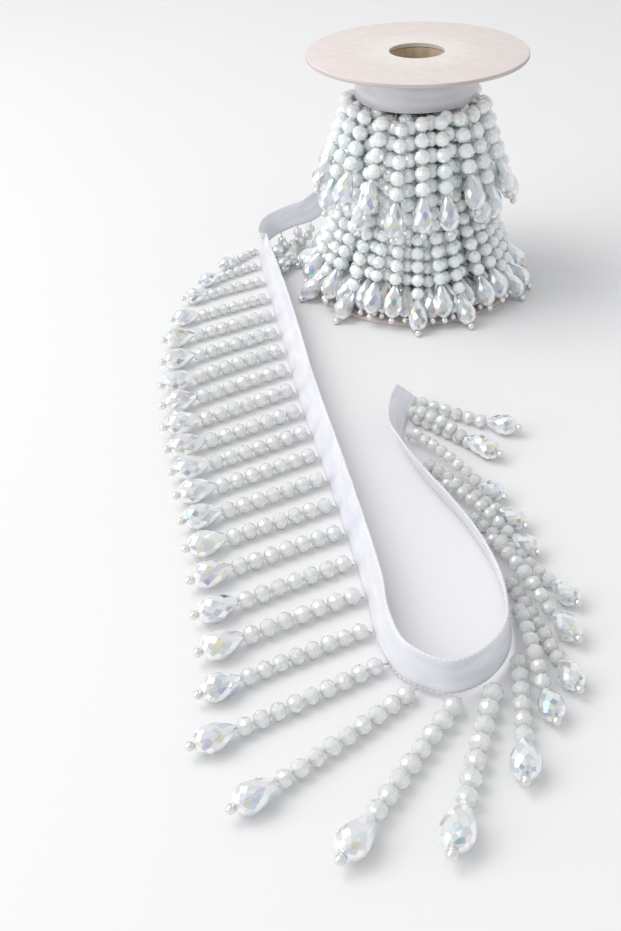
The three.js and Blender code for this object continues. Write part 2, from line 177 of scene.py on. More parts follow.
# The loose ribbon's beaded edge. lift is its height over the surface, lean tips the ribbon towards the
# inside of the loop, fan is the direction of the strands, beads is the number in a strand and length its
# reach from the ribbon to the pearl.
Row = namedtuple("Row", "x y lift lean fan beads length")
ROUTE = (
    Row(7.8, 21.5, 40.4, 0, -90, 3, 21),
    Row(-0.6, 23.3, 40.2, 0, -90, 3, 21),
    Row(-8, 25, 38.5, 0, -90, 3, 21),
    Row(-22, 27.8, 26, 4, -90, 3, 21),
    Row(-36, 29.6, 13.4, 7, -90, 3, 21),
    Row(-46, 32, 9, 9, -90, 3, 21),
    Row(-54, 33, 4.5, 12, -100, 3, 21),
    Row(-58.4, 29.8, 1.2, 17, -133, 4, 21.5),
    Row(-58.9, 21, 0, 22, -140, 4.6, 24.9),
    Row(-56.9, 4, 0, 28, -153, 5.6, 32),
    Row(-53, -24, 0, 33, -154, 7, 42.6),
    Row(-48.9, -54.4, 0, 33, -149, 7, 46.9),
    Row(-44.8, -84.8, 0, 32, -151.7, 7, 46.6),
    Row(-35.6, -138, 0, 26, -154.5, 7, 45),
    Row(-29, -181, 0, 22, -153.3, 7, 45.5),
    Row(-27.5, -195.6, 0.7, 17, -153, 8, 46),
    Row(-23.1, -208.2, 1.5, 11, -150.5, 9, 53.5),
    Row(-13.2, -214.3, 1.6, 6, -130, 8, 50.8),
    Row(-4.6, -211.7, 1.6, 7, -110, 7.4, 50.8),
    Row(3, -202.6, 1.4, 8, -96, 6, 38.4),
    Row(5.7, -188.7, 0.7, 10, -83.5, 7, 38.2),
    Row(5, -170.7, 0, 17, -71, 8, 42.6),
    Row(-0.1, -151.2, 0, 22, -59, 9, 44.5),
    Row(-6.4, -136, 0, 22, -53, 8, 39.4),
    Row(-11.4, -121.7, 0, 23, -51, 8, 41.5),
    Row(-13.3, -110, 0, 28, -53, 9, 43.5),
    Row(-11, -98.5, 0, 33, -44.5, 6, 34),
    Row(-6.9, -85.8, 0, 27, -26, 6, 36.6),
)
ROUTE_DIVISIONS = 48

# The loose fringe's stretches by distance along the ribbon. Stacked strands lie on each other in turn.
Stretch = namedtuple("Stretch", "name start end strands stacked")
STRETCHES = (
    Stretch("bend", 75, 133.2, 4, False),
    Stretch("side_1", 133.2, 199.6, 5, False),
    Stretch("side_2", 199.6, 261.6, 5, False),
    Stretch("side_3", 261.6, 312.6, 4, False),
    Stretch("turn_1", 312.6, 333.4, 2, False),
    Stretch("turn_2", 333.4, 350.5, 2, False),
    Stretch("turn_3", 350.5, 376.5, 2, True),
    Stretch("return_1", 376.5, 430, 4, True),
    Stretch("return_2", 430, 459, 2, True),
    Stretch("end", 459, 476.5, 2, False),
)
# A stacked strand's rise, the share of it at the root, and the share of the string along which it is held
STACK_RISE = 3
STACK_ROOT = 0.3
STACK_HELD = 0.55
STRAND_BOW = 0.7
LOWEST_ROOT = 0.6
# The distance of a strand that lies on its neighbours at the cut end
TOP_END_STRAND = 464

# The strands that hang from the ribbon where it comes down from the spool, by points from the root
HANGING_BEADS = 5
HANGING_SIZE = 0.82
HANGING = (
    ((-38, 30, 12.3), (-38.5, 31, 8), (-40, 32, 4), (-44, 30.5, 3), (-48, 29, 3), (-51.5, 26, 3),
     (-53, 20, 3), (-52, 14, 3.6), (-50.5, 8, 3.8)),
    ((-43.5, 31.4, 10.1), (-43.3, 33, 6), (-43, 34, 3), (-44, 30, 2.3), (-46, 22, 2.6), (-47, 14, 3.3),
     (-47.5, 4, 3.6)),
    ((-50.1, 32.9, 6.8), (-49.8, 32.5, 4), (-50.5, 28, 2.3), (-51, 20, 2.6), (-50, 12, 3.3), (-49, 2, 3.6)),
)

# Sewing. A stitch's side is its place from the middle of the cloth, in half thicknesses.
STITCH_SPACING = 1.4
STITCH_LENGTH = 0.7
STITCH_VARIES = (0.8, 1.15)
STITCH_START = 0.8
STITCH_RADIUS = 0.16
STITCH_SIDE = 1.3
EDGE_INSET = 0.2
KNOT_RADIUS = 0.3

# The cut end: its slant, the length that the slant is spread over, and its loose threads, which are longer
# past a share of the width
CUT_SLANT = 7
CUT_FROM = 12
FRAY_THREADS = 16
FRAY_START = 0.6
FRAY_REACH = (0.8, 2.4)
FRAY_SPLIT = 0.4
FRAY_LONGER = 1.3
FRAY_SHORTER = 0.8
FRAY_UP = (0.1, 0.25)
FRAY_OUT = (0, 0.2)
FRAY_POINTS = 6
FRAY_RADIUS = 0.07
FRAY_SIDES = 4

chance = random.Random(11)


# Vectors and curves

def unit(v):
    return v / max(np.linalg.norm(v), TINY)


def to_metres(points):
    return np.asarray(points, float) * MM + AXIS


class Path:
    """A line of points that is read by the distance along it."""

    def __init__(self, points):
        self.points = np.asarray(points, float)
        steps = np.linalg.norm(np.diff(self.points, axis=0), axis=1)
        self.distances = np.concatenate(([0], np.cumsum(steps)))
        self.length = self.distances[-1]

    def at(self, distance):
        return np.array([np.interp(distance, self.distances, column) for column in self.points.T])

    def heading(self, distance, span=0.4):
        return unit(self.at(min(distance + span, self.length)) - self.at(max(distance - span, 0)))


def spline(before, start, end, after, shares):
    """Points of a centripetal spline between start and end."""
    pairs = ((before, start), (start, end), (end, after))
    first, middle, last = (max(np.linalg.norm(b - a), TINY) ** 0.5 for a, b in pairs)
    step = (end - start) / middle
    leave = ((start - before) / first - (end - before) / (first + middle) + step) * middle
    arrive = (step - (after - start) / (middle + last) + (after - end) / last) * middle
    w = shares[:, None]
    return (start + leave * w + (3 * (end - start) - 2 * leave - arrive) * w ** 2
            + (2 * (start - end) + leave + arrive) * w ** 3)


def smooth(points):
    """Points of a smooth line through given ones."""
    rows = np.array(points, float)
    ends = np.vstack((2 * rows[0] - rows[1], rows, 2 * rows[-1] - rows[-2]))
    shares = np.arange(ROUTE_DIVISIONS) / ROUTE_DIVISIONS
    pieces = [spline(*ends[i:i + 4], shares) for i in range(len(rows) - 1)]
    return np.vstack(pieces + [rows[-1:]])


class Ribbon:
    """The loose ribbon's edge, with the columns of its table by distance."""

    def __init__(self):
        self.path = Path(smooth([row[:3] for row in ROUTE]))
        self.path.points[:, 2] = np.maximum(self.path.points[:, 2], 0)
        self.rows = np.arange(len(self.path.points)) / ROUTE_DIVISIONS

    def value(self, column, distance):
        row = np.interp(distance, self.path.distances, self.rows)
        return float(np.interp(row, range(len(ROUTE)), [getattr(r, column) for r in ROUTE]))

    def frame(self, distance):
        """Edge point, heading, outward side and the ribbon's own up direction."""
        heading = self.path.heading(distance)
        outward = unit(np.array([heading[1], -heading[0], 0]))
        lean = math.radians(self.value("lean", distance))
        up = np.array([0, 0, math.cos(lean)]) - outward * math.sin(lean)
        up = unit(up - heading * up.dot(heading))
        return self.path.at(distance), heading, outward, up


RIBBON = Ribbon()


# Shapes

CORNER_DIGITS = 4
HALVINGS = 50


def cut_ball(rows):
    """Corners and faces of a ball with flat facets, from rows of (latitude, facets in the row, turn)."""
    body = bmesh.new()
    for latitude, count, turn in rows:
        for k in range(count):
            a, b = math.radians(latitude), math.tau * (k + turn) / count
            body.verts.new((math.cos(a) * math.cos(b), math.cos(a) * math.sin(b), math.sin(a)))
    bmesh.ops.convex_hull(body, input=body.verts)
    body.normal_update()
    corners, faces, seen = [], [], {}
    for facet in body.verts:
        ring = {}
        side = facet.co.orthogonal().normalized()
        other = facet.co.cross(side)
        for face in facet.link_faces:
            corner = face.normal / face.normal.dot(face.verts[0].co)
            key = tuple(round(v, CORNER_DIGITS) for v in corner)
            if key not in seen:
                seen[key] = len(corners)
                corners.append(corner)
            ring[seen[key]] = math.atan2(corner.dot(other), corner.dot(side))
        faces.append(tuple(sorted(ring, key=ring.get)))
    body.free()
    points = np.array(corners, float)
    return points / np.linalg.norm(points, axis=1).max(), faces


def drop_radius(height):
    """The stone's outline: a slender neck that swells to the widest place and a round tail."""
    if height < DROP_WIDEST:
        return DROP_NECK + (1 - DROP_NECK) * math.sin(math.pi / 2 * height / DROP_WIDEST)
    return math.sqrt(max(0, 1 - ((height - DROP_WIDEST) / (1 - DROP_WIDEST)) ** 2))


def next_ring(above, ring):
    """The ring that closes flat kite facets begun by the two rings before it, on the stone's outline."""
    ahead = ring * (math.cos(math.pi / DROP_COLUMNS), 1) - above
    near, far = 1, (1 - above[1]) / ahead[1]
    for _ in range(HALVINGS):
        step = (near + far) / 2
        radius, height = above + step * ahead
        near, far = (step, far) if radius < drop_radius(height) else (near, step)
    return above + near * ahead


def cut_drop():
    """A pear-shaped stone of flat kite facets, from its neck at 0 to its tail at 1 on the Z axis."""
    n = DROP_COLUMNS
    profile = [np.array((drop_radius(h), h)) for h in (0, DROP_FIRST)]
    while profile[-1][1] < DROP_TAIL:
        profile.append(next_ring(*profile[-2:]))
    profile = np.array(profile) / profile[-1][1]
    rings = []
    for i, (radius, height) in enumerate(profile):
        angles = (np.arange(n) + (i % 2) / 2) * math.tau / n
        rings.append(np.stack((radius * np.cos(angles), radius * np.sin(angles), np.full(n, height)), 1))
    points = np.vstack(rings)
    count = len(rings)
    last, before = (count - 1) * n, (count - 2) * n
    shift = count % 2
    faces = [tuple(range(n - 1, -1, -1)), tuple(last + k for k in range(n))]
    for k in range(n):
        nxt = (k + 1) % n
        faces.append((k, nxt, n + k))
        faces.append((last + nxt, last + k, before + (k if shift else nxt)))
        for i in range(count - 2):
            side = (k - 1) % n if i % 2 == 0 else k
            other = k if i % 2 == 0 else nxt
            faces.append((i * n + k, (i + 1) * n + other, (i + 2) * n + k, (i + 1) * n + side)[::-1])
    return points, faces


def round_ball(columns, rows):
    """A plain sphere's corners and faces."""
    points = [(0, 0, -1)]
    for j in range(1, rows):
        a = math.pi * j / rows - math.pi / 2
        points += [(math.cos(a) * math.cos(b), math.cos(a) * math.sin(b), math.sin(a))
                   for b in np.arange(columns) * math.tau / columns]
    points.append((0, 0, 1))
    faces = []
    top = len(points) - 1
    for k in range(columns):
        nxt = (k + 1) % columns
        faces.append((0, 1 + nxt, 1 + k))
        faces.append((top, top - columns + k, top - columns + nxt))
        for j in range(rows - 2):
            a, b = 1 + j * columns, 1 + (j + 1) * columns
            faces.append((a + k, a + nxt, b + nxt, b + k))
    return np.array(points), faces


BEAD_SHAPE = cut_ball(((90, 1, 0), (60, 6, 0), (30, 10, 0.5), (0, 12, 0), (-30, 10, 0.5), (-60, 6, 0.5),
                       (-90, 1, 0)))
DROP_SHAPE = cut_drop()
PEARL_SHAPE = round_ball(12, 8)
KNOT_SHAPE = round_ball(7, 5)


class Batch:
    """Copies of small shapes, gathered into one mesh, with a tint for each face."""

    def __init__(self):
        self.points, self.faces, self.tints, self.count = [], [], [], 0

    def add(self, points, faces, tints=None):
        self.points.append(np.asarray(points, float))
        self.faces += [tuple(self.count + i for i in face) for face in faces]
        self.tints += tints if tints else [(1, 1, 1)] * len(faces)
        self.count += len(points)

    def place(self, shape, middle, axis, size, spin, tints=None):
        """A shape whose Z axis is turned to an axis, spun about it and scaled across and along."""
        points, faces = shape
        axis = unit(axis)
        side = np.array(Vector(axis).orthogonal().normalized())
        other = np.cross(axis, side)
        across = math.cos(spin) * side + math.sin(spin) * other
        turn = np.stack((across, np.cross(axis, across), axis))
        self.add(middle + (points * size) @ turn, faces, tints)

    def tube(self, points, radius, sides):
        """A round bar along points, closed at both ends."""
        points = np.asarray(points, float)
        ends = len(points) - 1
        rings = []
        for i, point in enumerate(points):
            axis = unit(points[min(i + 1, ends)] - points[max(i - 1, 0)])
            side = unit(np.cross(axis, ASKEW))
            other = np.cross(axis, side)
            rings.append([point + radius * (math.cos(a) * side + math.sin(a) * other)
                          for a in np.arange(sides) * math.tau / sides])
        faces = [tuple(range(sides - 1, -1, -1)), tuple(ends * sides + k for k in range(sides))]
        for i in range(ends):
            for k in range(sides):
                nxt = (k + 1) % sides
                faces.append((i * sides + k, i * sides + nxt, (i + 1) * sides + nxt, (i + 1) * sides + k))
        self.add(np.vstack(rings), faces)

    def make(self, name, material, slot, rounded=False):
        """The finished piece, riding on the part's body."""
        mesh = bpy.data.meshes.new(name)
        mesh.from_pydata(to_metres(np.vstack(self.points)).tolist(), [], self.faces)
        colours = np.ones((len(mesh.loops), 4), np.float32)
        colours[:, :3] = np.repeat(np.array(self.tints, np.float32), [len(f) for f in self.faces], axis=0)
        layer = mesh.color_attributes.new("tint", "FLOAT_COLOR", "CORNER")
        layer.data.foreach_set("color", colours.ravel())
        mesh.polygons.foreach_set("use_smooth", [rounded] * len(mesh.polygons))
        mesh.validate()
        mesh.update()
        piece = bpy.data.objects.new(name, mesh)
        bpy.context.scene.collection.objects.link(piece)
        mesh.materials.append(material)
        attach(piece, "root")
        return piece


# Materials

def new_material(name, **sockets):
    material = bpy.data.materials.new(name)
    material.use_nodes = True
    shader = material.node_tree.nodes["Principled BSDF"]
    for socket, value in sockets.items():
        shader.inputs[socket.replace("_", " ")].default_value = value
    return material, shader


def node(material, kind, **values):
    made = material.node_tree.nodes.new(kind)
    for key, value in values.items():
        if key in made.inputs:
            made.inputs[key].default_value = value
        else:
            setattr(made, key, value)
    return made


def link(material, source, target):
    material.node_tree.links.new(source, target)


def mixed(material, factor, first, second, blend="MIX"):
    """A colour mix. factor, first and second are sockets or values."""
    mix = node(material, "ShaderNodeMix", data_type="RGBA", blend_type=blend)
    for socket, value in zip((mix.inputs[0], mix.inputs[6], mix.inputs[7]), (factor, first, second)):
        if isinstance(value, bpy.types.NodeSocket):
            link(material, value, socket)
        else:
            socket.default_value = value if isinstance(value, (int, float)) else (*value, 1)
    return mix.outputs[2]


def scaled_place(material, scale=(1, 1, 1)):
    """Object coordinates, stretched by a scale for each axis."""
    place = node(material, "ShaderNodeTexCoord")
    mapping = node(material, "ShaderNodeMapping")
    mapping.inputs["Scale"].default_value = scale
    link(material, place.outputs["Object"], mapping.inputs["Vector"])
    return mapping.outputs["Vector"]


def noise(material, vector, scale, detail=3.0):
    texture = node(material, "ShaderNodeTexNoise", Scale=scale, Detail=detail)
    link(material, vector, texture.inputs["Vector"])
    return texture.outputs["Fac"]


def ramp(material, factor, low, high, at=(0.3, 0.7)):
    made = node(material, "ShaderNodeValToRGB")
    for stop, place, colour in zip(made.color_ramp.elements, at, (low, high)):
        stop.position = place
        stop.color = (*colour, 1)
    link(material, factor, made.inputs["Fac"])
    return made.outputs["Color"]


def bump(material, shader, height, strength, distance):
    made = node(material, "ShaderNodeBump", Strength=strength, Distance=distance)
    link(material, height, made.inputs["Height"])
    link(material, made.outputs["Normal"], shader.inputs["Normal"])


def tint_of(material):
    return node(material, "ShaderNodeVertexColor", layer_name="tint").outputs["Color"]


def tinted(material, shader, colour):
    """Colours a shader by a tone and the tint of each facet."""
    link(material, mixed(material, 1.0, colour, tint_of(material), "MULTIPLY"), shader.inputs["Base Color"])


def grained_material(name, grain, low, high, **sockets):
    """A material whose colour wanders between two tones."""
    material, shader = new_material(name, **sockets)
    tone = ramp(material, noise(material, scaled_place(material), grain), low, high)
    link(material, tone, shader.inputs["Base Color"])
    return material


def bead_material(name, clear, glow, lustre, coat, cloudy):
    """Coated milky glass with a faint lustre on its facets, partly clear, and cloudy in places."""
    material, shader = new_material(
        name, Roughness=0.07, IOR=1.54, Specular_IOR_Level=0.9, Metallic=lustre, Transmission_Weight=clear,
        Coat_Weight=coat, Coat_Roughness=0.03, Subsurface_Weight=glow, Subsurface_Radius=(1, 1, 1),
        Subsurface_Scale=0.0012)
    cloud = noise(material, scaled_place(material), 650)
    tinted(material, shader, ramp(material, cloud, cloudy, (0.99, 1, 1)))
    return material


def drop_material():
    """Cut crystal. The colours that single facets flash in are painted reflections, set by the tint of each
    facet.
    """
    material, shader = new_material(
        "crystal_drops", Roughness=0.05, IOR=1.55, Metallic=0.18, Transmission_Weight=0.75,
        Subsurface_Weight=0.5, Subsurface_Radius=(1, 1, 1), Subsurface_Scale=0.0012)
    haze = noise(material, scaled_place(material), 260)
    tinted(material, shader, ramp(material, haze, (0.97, 0.98, 0.98), (1, 1, 1)))
    return material


def satin_material():
    """White satin: fine lengthwise threads on the weave's own coordinates and soft sheen, with painted
    shade in faint lavender-grey patches.
    """
    material, shader = new_material(
        "white_satin", Roughness=0.36, Sheen_Weight=0.15, Sheen_Roughness=0.35, Anisotropic=0.4,
        Specular_IOR_Level=0.45, Subsurface_Weight=0.9, Subsurface_Radius=(1, 1, 1), Subsurface_Scale=0.001)
    weave = node(material, "ShaderNodeUVMap", uv_map="weave")
    along = node(material, "ShaderNodeMapping")
    along.inputs["Scale"].default_value = (0.25, 7, 1)
    link(material, weave.outputs["UV"], along.inputs["Vector"])
    threads = noise(material, along.outputs["Vector"], 1, 4)
    # Painted shade: broad patches between lavender grey and pale grey stand in for the shading of the
    # ribbon's folds
    across = node(material, "ShaderNodeMapping")
    across.inputs["Scale"].default_value = (0.08, 0.3, 1)
    link(material, weave.outputs["UV"], across.inputs["Vector"])
    painted_shade = noise(material, across.outputs["Vector"], 1, 2)
    tone = ramp(material, painted_shade, (0.64, 0.648, 0.715), (0.765, 0.768, 0.795))
    fine = ramp(material, threads, (0.94, 0.94, 0.95), (1, 1, 1))
    link(material, mixed(material, 1.0, tone, fine, "MULTIPLY"), shader.inputs["Base Color"])
    bump(material, shader, threads, 0.25, 0.00008)
    return material


def board_material():
    """Pale pinkish paperboard, lighter about the hole, with fibre mottling and a darker cut edge."""
    material, shader = new_material("board", Roughness=0.82, Specular_IOR_Level=0.25)
    place = node(material, "ShaderNodeTexCoord")
    away = node(material, "ShaderNodeVectorMath", operation="SUBTRACT")
    away.inputs[1].default_value = tuple(AXIS)
    link(material, place.outputs["Object"], away.inputs[0])
    flat = node(material, "ShaderNodeVectorMath", operation="MULTIPLY")
    flat.inputs[1].default_value = (1, 1, 0)
    link(material, away.outputs["Vector"], flat.inputs[0])
    reach = node(material, "ShaderNodeVectorMath", operation="LENGTH")
    link(material, flat.outputs["Vector"], reach.inputs[0])
    radius = node(material, "ShaderNodeMapRange")
    radius.inputs["From Min"].default_value = BORE_RADIUS * MM
    radius.inputs["From Max"].default_value = FLANGE_RADIUS * MM
    link(material, reach.outputs["Value"], radius.inputs["Value"])
    paper = ramp(material, radius.outputs["Result"], (0.735, 0.703, 0.665), (0.694, 0.63, 0.614),
                 (0.0, 0.45))
    fibres = noise(material, scaled_place(material, (1, 1.3, 1)), 260, 6)
    mottle = ramp(material, fibres, (0.96, 0.96, 0.96), (1.02, 1.02, 1.02), (0.35, 0.65))
    face = mixed(material, 1.0, paper, mottle, "MULTIPLY")
    layers = noise(material, scaled_place(material, (0.15, 0.15, 9)), 400, 2)
    edge = ramp(material, layers, (0.48, 0.41, 0.39), (0.68, 0.62, 0.57))
    normal = node(material, "ShaderNodeNewGeometry")
    split = node(material, "ShaderNodeSeparateXYZ")
    link(material, normal.outputs["Normal"], split.inputs["Vector"])
    upright = node(material, "ShaderNodeMath", operation="ABSOLUTE")
    link(material, split.outputs["Z"], upright.inputs[0])
    side = ramp(material, upright.outputs["Value"], (0, 0, 0), (1, 1, 1), (0.55, 0.85))
    link(material, mixed(material, side, edge, face), shader.inputs["Base Color"])
    bump(material, shader, fibres, 0.18, 0.0002)
    return material


def kraft_material():
    """Brown paper tube."""
    material, shader = new_material("kraft", Roughness=0.85, Specular_IOR_Level=0.2)
    fibres = noise(material, scaled_place(material, (1, 1, 0.4)), 420, 5)
    tone = ramp(material, fibres, (0.46, 0.36, 0.24), (0.63, 0.52, 0.38))
    link(material, tone, shader.inputs["Base Color"])
    bump(material, shader, fibres, 0.3, 0.0002)
    return material


WOUND_BEADS = bead_material(
    "milky_beads", clear=0.04, glow=0.3, lustre=0.14, coat=1.0, cloudy=(0.93, 0.985, 0.99))
LOOSE_BEADS = bead_material(
    "opal_beads", clear=0.5, glow=0.8, lustre=0.02, coat=0.5, cloudy=(0.985, 1, 0.995))
DROPS = drop_material()
# Silvery pearls, dark grey knots, pale grey nylon thread and bright white sewing thread
PEARLS = grained_material(
    "end_pearls", 700, (0.78, 0.76, 0.74), (0.88, 0.87, 0.85), Metallic=0.8, Roughness=0.15)
KNOTS = grained_material("knots", 1800, (0.45, 0.46, 0.47), (0.62, 0.62, 0.63), Roughness=0.6)
THREADS = grained_material(
    "threads", 900, (0.55, 0.56, 0.57), (0.78, 0.79, 0.8), Roughness=0.45, Sheen_Weight=0.2)
SEWING = grained_material(
    "sewing", 1500, (0.82, 0.82, 0.85), (0.97, 0.97, 0.98), Roughness=0.3, Sheen_Weight=0.4)
SATIN = satin_material()
BOARD = board_material()
KRAFT = kraft_material()

# Tints of single facets. On the beads, each bead has its own slight tint, painted shade makes single facets
# duller, and a few facets get painted dark reflections. On the drops, the tints are painted reflections in
# flash colours.
BEAD_TINTS = ((0.97, 1, 1), (0.98, 0.99, 1), (1, 1, 0.98), (0.98, 0.98, 1), (1, 0.99, 0.99))
BRIGHTEST = 1.03
# Painted shade on bead facets: how much duller a facet may be, on the spool and on the loose length
WOUND_PAINTED_FACET_SHADE = 0.15
LOOSE_PAINTED_FACET_SHADE = 0.03
# Painted dark reflections: the share of bead facets that get one, and its colour
PAINTED_DARK_SHARE = 0.03
PAINTED_DARK_REFLECTION = (0.84, 0.89, 0.9)
# Painted reflections on the drops' facets: colours of flashes, white and dark facets, with the share of
# each
PaintedFlash = namedtuple("PaintedFlash", "share red green blue")
PAINTED_FLASHES = (
    PaintedFlash(0.45, 0.97, 0.99, 1),
    PaintedFlash(0.17, 1, 1, 1),
    PaintedFlash(0.09, 0.82, 0.81, 0.94),
    PaintedFlash(0.06, 1, 0.9, 0.66),
    PaintedFlash(0.05, 0.84, 0.78, 0.74),
    PaintedFlash(0.09, 0.74, 0.88, 0.98),
    PaintedFlash(0.05, 0.46, 0.53, 0.57),
    PaintedFlash(0.025, 0.55, 0.55, 0.93),
    PaintedFlash(0.015, 0.25, 0.66, 0.68),
)


def bead_tints(count, painted_facet_shade):
    """One bead's tint, with painted shade on its single facets, each duller by part of the given amount,
    or, seldom, painted with a dark reflection.
    """
    base = np.array(chance.choice(BEAD_TINTS))
    tints = []
    for _ in range(count):
        if chance.random() < PAINTED_DARK_SHARE:
            tints.append(PAINTED_DARK_REFLECTION)
        else:
            tints.append(tuple(base * chance.uniform(BRIGHTEST - painted_facet_shade, BRIGHTEST)))
    return tints


# Painted reflections: a flash colour for each facet of a drop
def drop_tints(count):
    rows = chance.choices(PAINTED_FLASHES, [f.share for f in PAINTED_FLASHES], k=count)
    return [(f.red, f.green, f.blue) for f in rows]


# Strands

class Fringe:
    """The beads, drops, pearls, threads and knots of some strands, each gathered for one piece."""

    def __init__(self, painted_facet_shade):
        # The painted shade that the bead facets get
        self.painted_facet_shade = painted_facet_shade
        self.beads, self.drops, self.pearls = Batch(), Batch(), Batch()
        self.threads, self.knots = Batch(), Batch()

    def string(self, path, beads, pitch, size, gap, drop, half):
        """Strings a strand along a path, from its root."""
        at = gap
        for _ in range(beads):
            middle = path.at(at + pitch / 2)
            tilt = np.array([chance.gauss(0, BEAD_TILT) for _ in range(3)])
            radius = pitch / 2 * chance.uniform(1 - BEAD_VARIES, 1 + BEAD_VARIES)
            stretch = np.array((BEAD_ACROSS, BEAD_ACROSS, BEAD_ALONG))
            self.beads.place(BEAD_SHAPE, middle, path.heading(at + pitch / 2) + tilt, radius * stretch,
                             chance.uniform(0, math.tau), bead_tints(len(BEAD_SHAPE[1]), self.painted_facet_shade))
            at += pitch
        neck, tail = path.at(at), path.at(at + drop)
        self.drops.place(DROP_SHAPE, neck, tail - neck, (half, half, drop),
                         chance.uniform(0, math.tau), drop_tints(len(DROP_SHAPE[1])))
        at += drop
        pearl = PEARL_RADIUS * size
        self.pearls.place(PEARL_SHAPE, path.at(at + pearl * PEARL_SEAT), path.heading(at), pearl, 0)
        end = at + pearl
        places = [path.at(s) for s in np.linspace(0, end, int(end / THREAD_STEP))]
        self.threads.tube(places, THREAD_RADIUS, THREAD_SIDES)
        self.knots.place(KNOT_SHAPE, path.at(0), path.heading(0), KNOT_RADIUS, 0)

    def string_loose(self, path, beads, size):
        """Strings a strand of the loose length, all of one size."""
        self.string(path, beads, BEAD_PITCH * size, size, ROOT_GAP, DROP_LENGTH * size, DROP_HALF * size)

    def make(self, name, glass, nodes):
        made = [
            self.beads.make(f"{name}_beads", glass, "beads"),
            self.drops.make(f"{name}_drops", DROPS, "beads"),
            self.pearls.make(f"{name}_pearls", PEARLS, "beads", True),
            self.threads.make(f"{name}_threads", THREADS, "satin", True),
            self.knots.make(f"{name}_knots", KNOTS, "satin", True),
        ]
        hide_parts(*nodes)
        return made


def parted(tier, layer, azimuth):
    """A strand's azimuth, pushed aside by the ribbon in the upper tier, or None for an inner one there."""
    if tier.name == "lower" or not EXIT_FROM < azimuth < EXIT_TO:
        return azimuth
    if layer.inset > 0:
        return None
    side = 1 if azimuth > EXIT_MIDDLE else -1
    return EXIT_MIDDLE + side * max(abs(azimuth - EXIT_MIDDLE), EXIT_HALF)


def tier_path(tier, layer, azimuth, lean, string, slack, straight):
    """A hanging strand: out over the band's edge and down its slope, its drop turned out at the floor.

    A strand that isn't straight hangs upright from a certain radius on.
    """
    profile = [np.array((ROOT_RADIUS - layer.inset, tier.edge - ROOT_DROP))]
    profile.append(profile[0] + (SHOULDER_OUT, -SHOULDER_DOWN - slack))
    down = np.array((math.sin(lean), -math.cos(lean)))
    left = string - math.hypot(SHOULDER_OUT, SHOULDER_DOWN + slack)
    slope = left if straight else min(left, (tier.hang - layer.inset - profile[1][0]) / down[0])
    profile.append(profile[1] + down * slope)
    if slope < left:
        down = np.array((0, -1))
        profile.append(profile[2] + down * (left - slope))
    neck = profile[-1]
    reach = tier.drop + PEARL_RADIUS * PEARL_SEAT
    tip = neck + down * reach
    rest = FLOOR_REST if tip[0] > FLANGE_RADIUS + PEARL_RADIUS else FLANGE_REST
    if tip[1] < rest:
        fall = neck[1] - rest
        tip = neck + np.array((math.sqrt(max(reach ** 2 - fall ** 2, 0)), -fall))
    profile.append(tip + unit(tip - neck) * SPARE)
    radius, height = np.array(profile).T
    sway = math.radians(chance.gauss(0, AZIMUTH_SWAY))
    angles = math.radians(azimuth) + sway * np.linspace(0, 1, len(profile))
    return Path(np.stack((radius * np.cos(angles), radius * np.sin(angles), height), 1))


def upright_path(tier, layer, azimuth):
    """A short strand of the inner turns that hangs straight down behind the ribbon."""
    angle = math.radians(azimuth)
    radius = ROOT_RADIUS - layer.inset
    side = np.array((radius * math.cos(angle), radius * math.sin(angle), 0))
    length = tier.pitch + tier.drop + PEARL_RADIUS * 2 + SPARE
    return Path([side + (0, 0, tier.edge - height) for height in np.arange(0, length, PATH_STEP)])


def make_tier(tier):
    fringe = Fringe(WOUND_PAINTED_FACET_SHADE)
    spacing = 360 / tier.strands
    for number, layer in enumerate(LAYERS):
        for i in range(tier.strands):
            k = i - tier.strands // 2 + 1
            even = tier.turn + (k + layer.phase) * spacing
            azimuth = (even + chance.uniform(-UNEVEN_AZIMUTH, UNEVEN_AZIMUTH) + 180) % 360 - 180
            azimuth = parted(tier, layer, azimuth)
            if azimuth is None:
                if number % 2 == 1 and i % 2 == 0:
                    path = upright_path(tier, layer, even)
                    fringe.string(path, 1, tier.pitch, 1, 0, tier.drop, tier.half)
                continue
            outer = number == 0
            short = outer and k in tier.short
            straight = outer or number == 1 and k in tier.showing
            lean = (tier.short_lean if short else tier.lean) + layer.lean
            lean = math.radians(lean + chance.uniform(-UNEVEN_LEAN, UNEVEN_LEAN))
            beads = tier.beads - short + (0 if straight else tier.more)
            slack = SLACK if outer and k in tier.slack else 0
            slack += chance.uniform(-UNEVEN_SLACK, UNEVEN_SLACK)
            if not outer:
                slack += chance.uniform(0, tier.pitch / 2)
            gap = TIER_GAP + math.hypot(SHOULDER_OUT, SHOULDER_DOWN + slack) - SHOULDER
            path = tier_path(tier, layer, azimuth, lean, gap + beads * tier.pitch, slack, straight)
            fringe.string(path, beads, tier.pitch, 1, gap, tier.drop, tier.half)
    nodes = [f"fringe_{tier.name}_{k + 1}" for k in range(4)] + [f"wound_beads_{tier.name}"]
    fringe.make(f"{tier.name}_tier", WOUND_BEADS, nodes)


def loose_strand(distance):
    """How many beads a loose strand has, and their size for the strand's length."""
    beads = round(RIBBON.value("beads", distance))
    string = RIBBON.value("length", distance) + ROOT_BEND - ROOT_GAP
    return beads, string / (BEAD_PITCH * beads + STRAND_END)


